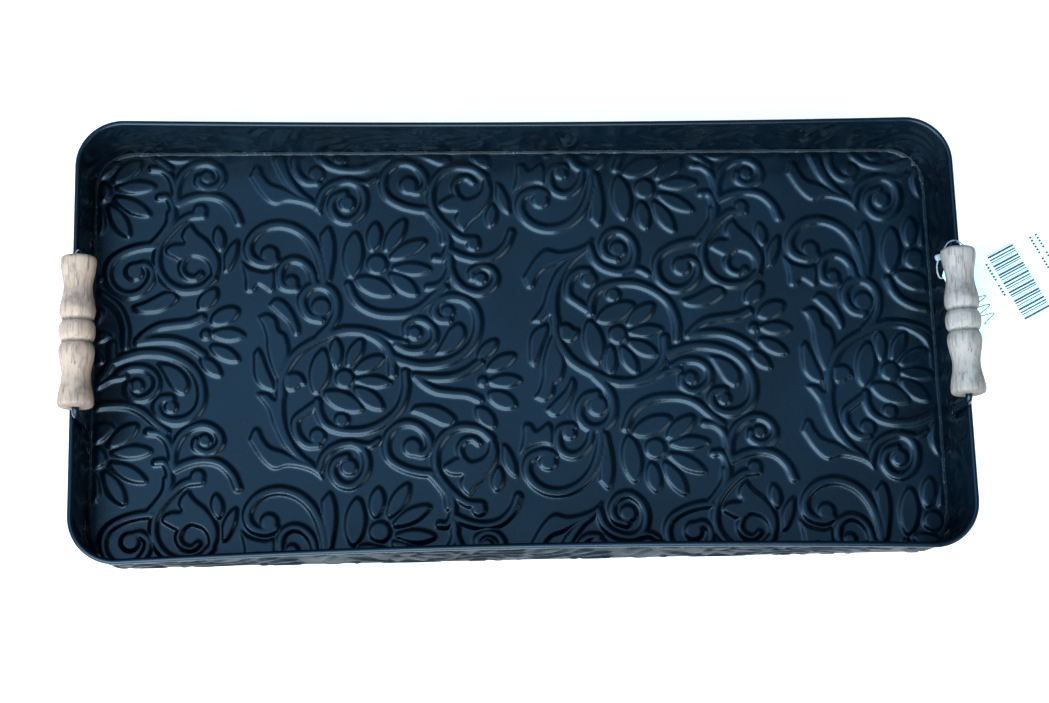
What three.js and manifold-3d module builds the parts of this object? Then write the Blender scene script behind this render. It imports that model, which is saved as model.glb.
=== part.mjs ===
// A rectangular serving tray in glossy black enamelled sheet metal: an embossed floor panel soldered
// into a bent wall band whose top edge is curled over a wire, two turned wooden grips on wire bails
// riveted inside the end walls, and a card swing tag held on one bail by a moulded plastic loop.
// Millimetres, +Z up, +X along the tray, origin at the middle of the underside.

import * as THREE from 'three';
import { mergeVertices } from 'three/addons/utils/BufferGeometryUtils.js';
import Module from 'manifold-3d';

// Whole tray
const LENGTH = 508;              // over the wired edge
const WIDTH = 254;
const HEIGHT = 52;
const CORNER_RADIUS = 27;        // plan radius of the wired edge
const SHEET = 0.6;
const FLOOR_THICKNESS = 0.7;
const DRAFT = 0.6;               // the walls lean outwards by this much over their height
const BOW_NEAR = 4.2;            // the long walls bow inwards at the top
const BOW_FAR = 2.0;
const GAP = 0.3;                 // between pieces that touch

// Wired edge
const CURL_RADIUS = 1.6;
const RIM_WIRE_RADIUS = 0.7;
const CURL_END = -70;            // degrees, how far the curl comes round underneath
const CURL_HEIGHT = HEIGHT - CURL_RADIUS;
const WALL_INSET = 2 * CURL_RADIUS;       // from the tray's outline to the wall's inner face, at the top

// Handles
const GRIP_INSET = 5.8;          // from the tray's outline to the grip's axis
const GRIP_HEIGHT = 65;
const GRIP_LENGTH = 85;
const GRIP_BORE = 2.4;
const BAIL_RADIUS = 2;
const BAIL_BEND = 2.8;
const LEG_Y = GRIP_LENGTH / 2 + 3.4;
const LEG_END = 33;              // height where the round leg turns into its flattened foot
const FOOT_HEIGHT = 30;
const FOOT_RADIUS = 4.5;
const FOOT_THICKNESS = 1.7;
const RIVET_RADIUS = 1.5;
const RIVET_HOLE = 1.8;
const RIVET_HEAD = 3;
const RIVET_DOME = 1.2;

// Strap over the joint of the wall band
const STRAP_WIDTH = 14;
const STRAP_LOW = 1;
const STRAP_HIGH = 47;

// Swing tag and its loop, in plan about the right-hand bail's far leg
const TAG_TURN = THREE.MathUtils.degToRad(27);
const TAG_HEIGHT = HEIGHT + 0.4;
const TAG_THICKNESS = 0.4;
const TAG_INNER = 229;           // along the tag's own long direction, from the tray's middle
const TAG_OUTER = 298.4;
const TAG_LOW_EDGE = -131;       // across it
const TAG_HIGH_EDGE = -78.5;
const TAG_HOLE = { along: 234.5, across: -84.5, radius: 2 };
const LOOP_RADIUS = 0.45;
const LOOP_HEIGHT = HEIGHT + 1.5;
const LOOP_HEAD = new THREE.Vector3(240.5, 40.5, LOOP_HEIGHT);

const wasm = await Module();
wasm.setup();

const ENAMEL = { color: 0x16222b, roughness: 0.22, metalness: 0.35 };
const STEEL = { color: 0x8c8f92, roughness: 0.4, metalness: 0.9 };
const WOOD = { color: 0xb3aa9f, roughness: 0.75, metalness: 0 };
const CARD = { color: 0xc3ecf7, roughness: 0.7, metalness: 0 };
const CLEAR_PLASTIC = { color: 0xd8ecf2, roughness: 0.2, metalness: 0 };

const tray = new THREE.Group();

/** Adds a finished piece to the tray under its name. */
function addPiece(name, geometry, finish, parent = tray) {
  const mesh = new THREE.Mesh(geometry, new THREE.MeshStandardMaterial(finish));
  mesh.name = name;
  parent.add(mesh);
  return mesh;
}

/** A closed geometry with shared vertices, without normals or texture coordinates. */
function welded(geometry) {
  const bare = geometry.clone();
  bare.deleteAttribute('normal');
  bare.deleteAttribute('uv');
  const result = mergeVertices(bare, 1e-4);
  result.computeVertexNormals();
  return result;
}

function toSolid(geometry) {
  const closed = welded(geometry);
  return new wasm.Manifold(new wasm.Mesh({
    numProp: 3,
    vertProperties: new Float32Array(closed.attributes.position.array),
    triVerts: new Uint32Array(closed.index.array),
  }));
}

function toGeometry(solid) {
  const mesh = solid.getMesh();
  const geometry = new THREE.BufferGeometry();
  geometry.setAttribute('position', new THREE.BufferAttribute(mesh.vertProperties, 3));
  geometry.setIndex(new THREE.BufferAttribute(mesh.triVerts, 1));
  geometry.computeVertexNormals();
  return geometry;
}

// Stations round the tray's outline, each with its outward direction and its share of the bow

/** The inward bow of a long wall at its top, which dies away towards the corners. */
function bowAt(x, side) {
  const reach = LENGTH / 2 - CORNER_RADIUS;
  const share = Math.max(0, 1 - (x / reach) ** 2);
  return (side < 0 ? BOW_NEAR : BOW_FAR) * share;
}

/** Points across one straight side, without its ends. */
function straightStations(from, to, normal, count) {
  const stations = [];
  for (let step = 1; step < count; step += 1) {
    const point = from.clone().lerp(to, step / count);
    const bow = normal.y === 0 ? 0 : bowAt(point.x, normal.y);
    stations.push({ point, normal, bow });
  }
  return stations;
}

/** Points round one corner, both ends included. */
function cornerStations(sideX, sideY, startAngle, count) {
  const centre = new THREE.Vector2(
    sideX * (LENGTH / 2 - CORNER_RADIUS),
    sideY * (WIDTH / 2 - CORNER_RADIUS),
  );
  const stations = [];
  for (let step = 0; step <= count; step += 1) {
    const angle = startAngle + (step / count) * Math.PI / 2;
    const normal = new THREE.Vector2(Math.cos(angle), Math.sin(angle));
    stations.push({ point: centre.clone().addScaledVector(normal, CORNER_RADIUS), normal, bow: 0 });
  }
  return stations;
}

/** The whole outline, anticlockwise from the near right corner. */
function outlineStations(cornerSteps = 7, longSteps = 10, shortSteps = 2) {
  const corners = [
    cornerStations(1, -1, -Math.PI / 2, cornerSteps),
    cornerStations(1, 1, 0, cornerSteps),
    cornerStations(-1, 1, Math.PI / 2, cornerSteps),
    cornerStations(-1, -1, Math.PI, cornerSteps),
  ];
  const normals = [[1, 0], [0, 1], [-1, 0], [0, -1]];
  const stations = [];
  corners.forEach((corner, index) => {
    const next = corners[(index + 1) % 4];
    const normal = new THREE.Vector2(...normals[index]);
    const count = index % 2 === 0 ? shortSteps : longSteps;
    stations.push(...corner);
    stations.push(...straightStations(corner[corner.length - 1].point, next[0].point, normal, count));
  });
  return stations;
}

/**
 * A closed ring of one section round the tray. The section's points are (inset, height): inset is
 * measured inwards from the outline. A lathe gives the ring's faces and each column moves to its station.
 */
function ringAlong(section, stations) {
  const clockwise = THREE.ShapeUtils.isClockWise(section) ? section : [...section].reverse();
  const closedSection = [...clockwise, clockwise[0]];
  const ring = new THREE.LatheGeometry(closedSection, stations.length);
  const position = ring.attributes.position;
  for (let column = 0; column <= stations.length; column += 1) {
    const { point, normal, bow } = stations[column % stations.length];
    closedSection.forEach((corner, row) => {
      const inset = corner.x + bow * corner.y / HEIGHT;
      const index = column * closedSection.length + row;
      position.setXYZ(index, point.x - normal.x * inset, point.y - normal.y * inset, corner.y);
    });
  }
  return welded(ring);
}

/** An arc of a section, from one angle to another, in (inset, height). */
function arcPoints(radius, fromDegrees, toDegrees, steps) {
  const points = [];
  for (let step = 0; step <= steps; step += 1) {
    const angle = THREE.MathUtils.degToRad(fromDegrees + (toDegrees - fromDegrees) * step / steps);
    points.push(new THREE.Vector2(
      CURL_RADIUS - radius * Math.cos(angle),
      CURL_HEIGHT + radius * Math.sin(angle),
    ));
  }
  return points;
}

/** How far the wall's inner face lies inside the outline at a height. */
function wallInset(height) {
  return WALL_INSET + DRAFT * (1 - height / CURL_HEIGHT);
}

/** The wall band: a leaning sheet whose top edge curls outwards over the rim wire. */
function wallSection() {
  return [
    new THREE.Vector2(wallInset(0), 0),
    ...arcPoints(CURL_RADIUS, 180, CURL_END, 9),
    ...arcPoints(CURL_RADIUS - SHEET, CURL_END, 180, 9),
    new THREE.Vector2(wallInset(0) - SHEET, 0),
  ];
}

function rimWireSection() {
  return arcPoints(RIM_WIRE_RADIUS, 0, 315, 7);
}

/** The bead of solder in the corner between the floor panel and the walls. */
function seamSection() {
  const back = wallInset(0) + GAP;
  const low = FLOOR_THICKNESS + GAP;
  return [
    new THREE.Vector2(back, low),
    new THREE.Vector2(back, low + 1.5),
    new THREE.Vector2(back + 0.5, low + 0.5),
    new THREE.Vector2(back + 1.5, low),
  ];
}

/** The floor panel's outline, which stops just inside the walls. */
function floorPanel() {
  const inset = wallInset(0) + GAP;
  const halfX = LENGTH / 2 - inset;
  const halfY = WIDTH / 2 - inset;
  const radius = CORNER_RADIUS - inset;
  const outline = new THREE.Shape();
  outline.moveTo(halfX - radius, -halfY);
  outline.absarc(halfX - radius, -halfY + radius, radius, -Math.PI / 2, 0);
  outline.absarc(halfX - radius, halfY - radius, radius, 0, Math.PI / 2);
  outline.absarc(-halfX + radius, halfY - radius, radius, Math.PI / 2, Math.PI);
  outline.absarc(-halfX + radius, -halfY + radius, radius, Math.PI, 1.5 * Math.PI);
  return new THREE.ExtrudeGeometry(outline, {
    depth: FLOOR_THICKNESS,
    bevelEnabled: false,
    curveSegments: 8,
  });
}

/** A round bar along X between two places. */
function barAlongX(radius, fromX, toX, y, z, sides = 16) {
  const bar = new THREE.CylinderGeometry(radius, radius, toX - fromX, sides);
  bar.rotateZ(-Math.PI / 2);
  bar.translate((fromX + toX) / 2, y, z);
  return bar;
}

/** The wall band with a rivet hole behind each bail foot. */
function wallBand(stations) {
  let band = toSolid(ringAlong(wallSection(), stations));
  for (const end of [-1, 1]) {
    for (const side of [-1, 1]) {
      const middle = end * (LENGTH / 2 - 3);
      const drill = barAlongX(RIVET_HOLE, middle - 4, middle + 4, side * LEG_Y, FOOT_HEIGHT);
      band = band.subtract(toSolid(drill));
    }
  }
  return toGeometry(band);
}

/** The strap outside one end wall that joins the two ends of the wall band. */
function wallStrap() {
  const skin = (height) => -LENGTH / 2 + wallInset(height) - SHEET - GAP;
  const outline = new THREE.Shape([
    new THREE.Vector2(skin(STRAP_LOW), STRAP_LOW),
    new THREE.Vector2(skin(STRAP_HIGH), STRAP_HIGH),
    new THREE.Vector2(skin(STRAP_HIGH) - SHEET, STRAP_HIGH),
    new THREE.Vector2(skin(STRAP_LOW) - SHEET, STRAP_LOW),
  ]);
  const strap = new THREE.ExtrudeGeometry(outline, { depth: STRAP_WIDTH, bevelEnabled: false });
  strap.rotateX(Math.PI / 2);
  strap.translate(0, STRAP_WIDTH / 2, 0);
  return strap;
}

// One handle, built for the right-hand end with X measured from the tray's middle

const GRIP_X = LENGTH / 2 - GRIP_INSET;
const FOOT_OUTER = GRIP_X + BAIL_RADIUS - 0.1;
const FOOT_INNER = FOOT_OUTER - FOOT_THICKNESS;

/** The centre line of a bail: up one leg, along the grip and down the other leg. */
function bailPath() {
  const path = new THREE.CurvePath();
  const at = (y, z) => new THREE.Vector3(GRIP_X, y, z);
  const bend = GRIP_HEIGHT - BAIL_BEND;
  const straight = LEG_Y - BAIL_BEND;
  path.add(new THREE.LineCurve3(at(-LEG_Y, LEG_END), at(-LEG_Y, bend)));
  path.add(new THREE.QuadraticBezierCurve3(
    at(-LEG_Y, bend), at(-LEG_Y, GRIP_HEIGHT), at(-straight, GRIP_HEIGHT),
  ));
  path.add(new THREE.LineCurve3(at(-straight, GRIP_HEIGHT), at(straight, GRIP_HEIGHT)));
  path.add(new THREE.QuadraticBezierCurve3(
    at(straight, GRIP_HEIGHT), at(LEG_Y, GRIP_HEIGHT), at(LEG_Y, bend),
  ));
  path.add(new THREE.LineCurve3(at(LEG_Y, bend), at(LEG_Y, LEG_END)));
  return path;
}

/** A round section for a wire. */
function wireSection(radius, sides) {
  const section = new THREE.Shape();
  for (let side = 0; side < sides; side += 1) {
    const angle = (side / sides) * 2 * Math.PI;
    const corner = [radius * Math.cos(angle), radius * Math.sin(angle)];
    if (side === 0) section.moveTo(...corner);
    else section.lineTo(...corner);
  }
  return section;
}

function wireAlong(path, radius, sides, steps) {
  return new THREE.ExtrudeGeometry(wireSection(radius, sides), { extrudePath: path, steps });
}

/** A bent wire bail whose two ends are hammered flat into round feet with a rivet hole. */
function bail() {
  let solid = toSolid(wireAlong(bailPath(), BAIL_RADIUS, 8, 90));
  for (const side of [-1, 1]) {
    const foot = barAlongX(FOOT_RADIUS, FOOT_INNER, FOOT_OUTER, side * LEG_Y, FOOT_HEIGHT, 20);
    const hole = barAlongX(RIVET_HOLE, FOOT_INNER - 1, FOOT_OUTER + 1, side * LEG_Y, FOOT_HEIGHT);
    solid = solid.add(toSolid(foot)).subtract(toSolid(hole));
  }
  return toGeometry(solid);
}

/** A round piece turned about the Y axis from (radius, position along the axis) points. */
function turnedAlongY(profile, sides) {
  const turned = new THREE.LatheGeometry(profile, sides);
  return welded(turned);
}

/** The grip's outline from one end to the other: flare, neck, shoulder, groove, middle bead. */
function gripProfile() {
  const half = [
    [9.2, 42.5], [10.0, 40.6], [10.0, 38.2], [9.5, 34.5], [8.5, 29.5], [8.1, 25.0], [8.4, 21.0],
    [9.3, 16.5], [9.9, 12.5], [9.8, 9.5], [9.2, 7.6], [8.4, 6.4], [9.3, 5.0], [10.0, 2.6],
  ];
  const outer = half.map(([radius, along]) => new THREE.Vector2(radius, along)).reverse();
  const mirrored = half.map(([radius, along]) => new THREE.Vector2(radius, -along));
  const end = GRIP_LENGTH / 2;
  return [
    new THREE.Vector2(GRIP_BORE, -end),
    ...mirrored,
    new THREE.Vector2(10.2, 0),
    ...outer,
    new THREE.Vector2(GRIP_BORE, end),
    new THREE.Vector2(GRIP_BORE, -end),
  ];
}

function grip() {
  const turned = turnedAlongY(gripProfile(), 24);
  turned.translate(GRIP_X, 0, GRIP_HEIGHT);
  return turned;
}

/** A rivet from its inner head, through the foot and the wall, to its outer head. */
function rivet(side) {
  const innerBase = FOOT_INNER - GAP;
  const outerBase = LENGTH / 2 - wallInset(FOOT_HEIGHT) + SHEET + GAP;
  const profile = [
    new THREE.Vector2(0, innerBase - RIVET_DOME),
    new THREE.Vector2(RIVET_HEAD * 0.7, innerBase - RIVET_DOME * 0.7),
    new THREE.Vector2(RIVET_HEAD, innerBase),
    new THREE.Vector2(RIVET_RADIUS, innerBase),
    new THREE.Vector2(RIVET_RADIUS, outerBase),
    new THREE.Vector2(RIVET_HEAD, outerBase),
    new THREE.Vector2(RIVET_HEAD * 0.7, outerBase + RIVET_DOME * 0.7),
    new THREE.Vector2(0, outerBase + RIVET_DOME),
  ];
  const turned = turnedAlongY(profile, 16);
  turned.rotateZ(-Math.PI / 2);
  turned.translate(0, side * LEG_Y, FOOT_HEIGHT);
  return turned;
}

/** A handle with its grip, bail and two rivets, turned half round for the left-hand end. */
function addHandle(name, turn) {
  const handle = new THREE.Group();
  handle.rotation.z = turn;
  tray.add(handle);
  addPiece(`${name}_grip`, grip(), WOOD, handle);
  addPiece(`${name}_bail`, bail(), ENAMEL, handle);
  addPiece(`${name}_rivet_a`, rivet(-1), ENAMEL, handle);
  addPiece(`${name}_rivet_b`, rivet(1), ENAMEL, handle);
}

// Swing tag

/** The tag's outline in its own directions: tapered shoulders at the hole end, round outer corners. */
function tagOutline() {
  const outline = new THREE.Shape();
  const round = 2;
  outline.moveTo(TAG_INNER, TAG_LOW_EDGE + 4.5);
  outline.lineTo(TAG_INNER + 11, TAG_LOW_EDGE);
  outline.lineTo(TAG_OUTER - round, TAG_LOW_EDGE);
  outline.absarc(TAG_OUTER - round, TAG_LOW_EDGE + round, round, -Math.PI / 2, 0);
  outline.absarc(TAG_OUTER - round, TAG_HIGH_EDGE - round, round, 0, Math.PI / 2);
  outline.lineTo(TAG_INNER + 5, TAG_HIGH_EDGE);
  outline.lineTo(TAG_INNER, TAG_HIGH_EDGE - 5);
  outline.closePath();
  const hole = new THREE.Path();
  hole.absarc(TAG_HOLE.along, TAG_HOLE.across, TAG_HOLE.radius, 0, 2 * Math.PI, true);
  outline.holes.push(hole);
  return outline;
}

function tagCard() {
  const card = new THREE.ExtrudeGeometry(tagOutline(), {
    depth: TAG_THICKNESS,
    bevelEnabled: false,
    curveSegments: 6,
  });
  card.rotateZ(TAG_TURN);
  card.translate(0, 0, TAG_HEIGHT);
  return card;
}

/**
 * The loop's route: from its head round the far side of the bail leg, over the wired edge, back in
 * over the tag, down through the tag's hole, out under the card's end and back to the head.
 */
function loopRoute() {
  const top = LOOP_HEIGHT;
  return new THREE.CatmullRomCurve3([
    LOOP_HEAD,
    new THREE.Vector3(243.4, 44.6, top),
    new THREE.Vector3(246.6, 49.2, top),
    new THREE.Vector3(251.2, 50.4, top),
    new THREE.Vector3(255.6, 47.4, top),
    new THREE.Vector3(256.4, 41.6, top),
    new THREE.Vector3(253.2, 36.2, top),
    new THREE.Vector3(249.2, 32.4, top),
    new THREE.Vector3(247.2, 31.1, top - 1.0),
    new THREE.Vector3(244.6, 29.8, top - 2.2),
    new THREE.Vector3(241.2, 28.4, top - 1.6),
    new THREE.Vector3(239.2, 30.4, top),
    new THREE.Vector3(238.9, 35.0, top),
    LOOP_HEAD.clone().add(new THREE.Vector3(-0.4, -1.2, 0)),
  ]);
}

/** The moulded loop: a thin strand that starts and ends in a small lock head. */
function tagLoop() {
  const strand = toSolid(wireAlong(loopRoute(), LOOP_RADIUS, 8, 70));
  const head = new THREE.SphereGeometry(1, 12, 8);
  head.scale(2.4, 1.9, 1.3);
  head.rotateZ(THREE.MathUtils.degToRad(20));
  head.translate(...LOOP_HEAD.toArray());
  return toGeometry(strand.add(toSolid(head)));
}

const stations = outlineStations();
addPiece('floor_panel', floorPanel(), ENAMEL);
addPiece('wall_band', wallBand(stations), ENAMEL);
addPiece('rim_wire', ringAlong(rimWireSection(), stations), STEEL);
addPiece('seam_solder', ringAlong(seamSection(), stations), ENAMEL);
addPiece('wall_strap', wallStrap(), ENAMEL);
addHandle('right', 0);
addHandle('left', Math.PI);
addPiece('tag_card', tagCard(), CARD);
addPiece('tag_loop', tagLoop(), CLEAR_PLASTIC);

export default tray;
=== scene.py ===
"""A black enamelled serving tray with embossed scrollwork, wooden grips on wire bails and a swing tag.

The boxes of the wall band, strap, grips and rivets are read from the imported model, and the other sizes
are written here to fit it. This script adds the fine surfaces and the finishes. The motifs, the grips'
profile, the tag's layout and its loop's route are in millimetres, everything else is in metres.
"""

import logging
import math
from collections.abc import Callable, Sequence
from dataclasses import dataclass, field
from enum import Enum

import bmesh
import bpy
import numpy as np
from mathutils import Matrix, Vector


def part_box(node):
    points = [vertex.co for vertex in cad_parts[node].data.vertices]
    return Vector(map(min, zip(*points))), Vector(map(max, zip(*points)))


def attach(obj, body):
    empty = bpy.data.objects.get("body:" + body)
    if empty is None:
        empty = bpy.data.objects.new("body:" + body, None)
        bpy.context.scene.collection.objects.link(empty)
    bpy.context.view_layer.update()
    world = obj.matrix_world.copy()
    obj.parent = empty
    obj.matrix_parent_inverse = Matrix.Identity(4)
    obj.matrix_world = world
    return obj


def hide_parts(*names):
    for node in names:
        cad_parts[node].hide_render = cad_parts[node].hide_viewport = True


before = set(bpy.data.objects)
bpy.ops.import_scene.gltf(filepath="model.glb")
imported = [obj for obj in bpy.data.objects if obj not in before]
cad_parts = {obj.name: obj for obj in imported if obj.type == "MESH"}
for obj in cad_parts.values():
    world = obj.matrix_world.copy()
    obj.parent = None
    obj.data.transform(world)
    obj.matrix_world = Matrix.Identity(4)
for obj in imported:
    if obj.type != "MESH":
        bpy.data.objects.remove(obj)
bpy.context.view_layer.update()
LOG = logging.getLogger("tray")
MM = 0.001
GRID_WELD = 1e-7
SPIN_WELD = 1e-6
BAIL_LEG_Y = 0.0459


# ---------------------------------------------------------------- shader maths

class Value:
    """A shader socket that understands arithmetic, so that an expression adds its Math nodes."""

    def __init__(self, tree: "ShaderTree", socket: bpy.types.NodeSocket) -> None:
        """Wraps one output socket of a tree."""
        self.tree = tree
        self.socket = socket

    def math(self, operation: str, *others: "Value | float", first: bool = True) -> "Value":
        """Adds one Math node.

        Args:
            operation: the Math node's operation.
            others: the remaining operands.
            first: whether this value is the first operand.

        Returns:
            The node's result.
        """
        operands = [self, *others] if first else [*others, self]
        node = self.tree.node("ShaderNodeMath", {"operation": operation}, dict(enumerate(operands)))
        return Value(self.tree, node.outputs[0])

    def __add__(self, other: "Value | float") -> "Value":
        """Sum."""
        return self.math("ADD", other)

    __radd__ = __add__

    def __mul__(self, other: "Value | float") -> "Value":
        """Product."""
        return self.math("MULTIPLY", other)

    __rmul__ = __mul__

    def __sub__(self, other: "Value | float") -> "Value":
        """Difference."""
        return self.math("SUBTRACT", other)

    def __rsub__(self, other: "Value | float") -> "Value":
        """Difference with this value taken away."""
        return self.math("SUBTRACT", other, first=False)

    def __pow__(self, other: "Value | float") -> "Value":
        """Power."""
        return self.math("POWER", other)

    def step(self, low: float, high: float) -> "Value":
        """A smooth step from 0 at low to 1 at high.

        Args:
            low: where the step starts.
            high: where it ends, above low.

        Returns:
            The smoothed share.
        """
        settings = {"interpolation_type": "SMOOTHSTEP"}
        inputs = {"Value": self, "From Min": low, "From Max": high}
        return Value(self.tree, self.tree.node("ShaderNodeMapRange", settings, inputs).outputs["Result"])


class ShaderTree:
    """The node tree of a material or a world, with one method that makes every node."""

    def __init__(self, owner: bpy.types.Material | bpy.types.World) -> None:
        """Takes over an owner's node tree and empties it."""
        owner.use_nodes = True
        self.nodes = owner.node_tree.nodes
        self.links = owner.node_tree.links
        self.nodes.clear()

    def node(self, kind: str, settings: dict | None = None, inputs: dict | None = None) -> bpy.types.Node:
        """Makes one node.

        Args:
            kind: the node's type.
            settings: its properties, set first.
            inputs: numbers, colours, sockets or Values for its sockets, by name or place.

        Returns:
            The node.
        """
        node = self.nodes.new(kind)
        for key, value in (settings or {}).items():
            setattr(node, key, value)
        for key, value in (inputs or {}).items():
            if isinstance(value, Value):
                value = value.socket
            if isinstance(value, bpy.types.NodeSocket):
                self.links.new(value, node.inputs[key])
            else:
                node.inputs[key].default_value = value
        return node

    def place(self, centre: Sequence[float] = (0, 0, 0), stretch: Sequence[float] = (1, 1, 1)) -> "Value":
        """Object coordinates, centred on a point and stretched.

        Args:
            centre: the point that becomes the pattern's origin, in metres.
            stretch: the scale along each axis.

        Returns:
            The coordinates.
        """
        source = self.node("ShaderNodeTexCoord").outputs["Object"]
        moved = self.node("ShaderNodeVectorMath", {"operation": "SUBTRACT"}, {0: source, 1: centre})
        inputs = {0: moved.outputs[0], 1: stretch}
        scaled = self.node("ShaderNodeVectorMath", {"operation": "MULTIPLY"}, inputs)
        return Value(self, scaled.outputs[0])

    def noise(self, vector: Value, scale: float, detail: float = 3.0, roughness: float = 0.5) -> Value:
        """A noise pattern between 0 and 1.

        Args:
            vector: where it is read.
            scale: cycles per metre before any stretch.
            detail: octaves.
            roughness: weight of the finer octaves.

        Returns:
            The pattern.
        """
        inputs = {"Vector": vector, "Scale": scale, "Detail": detail, "Roughness": roughness}
        return Value(self, self.node("ShaderNodeTexNoise", None, inputs).outputs[0])

    def cells(self, vector: Value, scale: float) -> Value:
        """Distance from the nearest of many scattered points.

        Args:
            vector: where it is read.
            scale: cells per metre before any stretch.

        Returns:
            The distance in cells.
        """
        inputs = {"Vector": vector, "Scale": scale}
        return Value(self, self.node("ShaderNodeTexVoronoi", None, inputs).outputs["Distance"])

    def blend(self, share: Value, first: "Value | tuple", second: "Value | tuple") -> Value:
        """A colour between two others.

        Args:
            share: 0 gives the first colour and 1 the second.
            first: a colour or a Value.
            second: a colour or a Value.

        Returns:
            The blended colour.
        """
        pair = [colour if isinstance(colour, Value) else (*colour, 1.0) for colour in (first, second)]
        # A Mix node's colour inputs are numbers 6 and 7, and its colour output is number 2.
        inputs = {0: share, 6: pair[0], 7: pair[1]}
        return Value(self, self.node("ShaderNodeMix", {"data_type": "RGBA"}, inputs).outputs[2])

    def bump(self, height: Value, distance: float, strength: float = 1.0) -> bpy.types.NodeSocket:
        """The normal of a surface raised by a pattern.

        Args:
            height: the pattern.
            distance: metres of relief for a height of 1.
            strength: share of the effect.

        Returns:
            The Normal socket.
        """
        inputs = {"Height": height, "Distance": distance, "Strength": strength}
        return self.node("ShaderNodeBump", None, inputs).outputs["Normal"]

    def surface(self, inputs: dict) -> None:
        """Ends a material in one Principled shader with these inputs."""
        shader = self.node("ShaderNodeBsdfPrincipled", None, inputs)
        self.node("ShaderNodeOutputMaterial", None, {"Surface": shader.outputs[0]})


# ---------------------------------------------------------------- finishes

@dataclass(frozen=True)
class Finish:
    """What every finish shares: a name and the way its material is made."""

    name: str

    def material(self) -> bpy.types.Material:
        """Makes the finish's material.

        Returns:
            The material.
        """
        material = bpy.data.materials.new(self.name)
        self.lay(ShaderTree(material))
        return material

    def lay(self, tree: ShaderTree) -> None:
        """Adds the finish's nodes.

        Args:
            tree: the material's empty node tree.
        """
        raise NotImplementedError


@dataclass(frozen=True)
class Enamel(Finish):
    """Black enamel with a blue-green cast, faint clouding, handling smears and specks of dust."""

    deep: tuple = (0.0010, 0.0042, 0.0078)
    cast: tuple = (0.0020, 0.0078, 0.0140)
    speck: tuple = (0.10, 0.13, 0.15)
    gloss: float = 0.20
    smear: float = 0.13
    peel: float = 0.00004
    dust: float = 0.055
    sheen: float = 0.5
    tint: tuple = (0.68, 0.86, 0.98)

    def lay(self, tree: ShaderTree) -> None:
        """Adds the enamel's nodes.

        Args:
            tree: the material's empty node tree.
        """
        here = tree.place()
        clouds = tree.noise(here, 16, 4).step(0.36, 0.66)
        smears = tree.noise(tree.place(stretch=(1, 2.2, 1)), 34, 5, 0.62).step(0.40, 0.72)
        specks = 1 - tree.cells(here, 330).step(self.dust * 0.6, self.dust)
        scattered = specks * tree.noise(here, 60, 2).step(0.56, 0.62)
        colour = tree.blend(scattered, tree.blend(clouds, self.deep, self.cast), self.speck)
        peel = tree.noise(here, 420, 2) + 0.5 * tree.noise(here, 1500, 1)
        tree.surface({
            "Base Color": colour,
            "Roughness": smears * self.smear + self.gloss + scattered * 0.3,
            "IOR": 1.52,
            "Specular IOR Level": self.sheen,
            "Specular Tint": (*self.tint, 1.0),
            "Normal": tree.bump(peel, self.peel),
        })


@dataclass(frozen=True)
class SolderedSeam(Finish):
    """Enamel run thickly over a rough bead of solder, with bright pinpoints where it is thin."""

    name: str = "enamelled_seam"
    enamel: tuple = (0.004, 0.012, 0.018)
    bare: tuple = (0.16, 0.20, 0.23)

    def lay(self, tree: ShaderTree) -> None:
        """Adds the seam's nodes.

        Args:
            tree: the material's empty node tree.
        """
        here = tree.place()
        grit = tree.noise(here, 620, 4, 0.7)
        thin = grit.step(0.57, 0.66) * tree.noise(here, 38, 2).step(0.46, 0.60)
        tree.surface({
            "Base Color": tree.blend(thin, self.enamel, self.bare),
            "Roughness": 0.30 + 0.25 * grit,
            "Metallic": 0.25 * thin,
            "Normal": tree.bump(grit, 0.0004, 0.9),
        })


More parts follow.
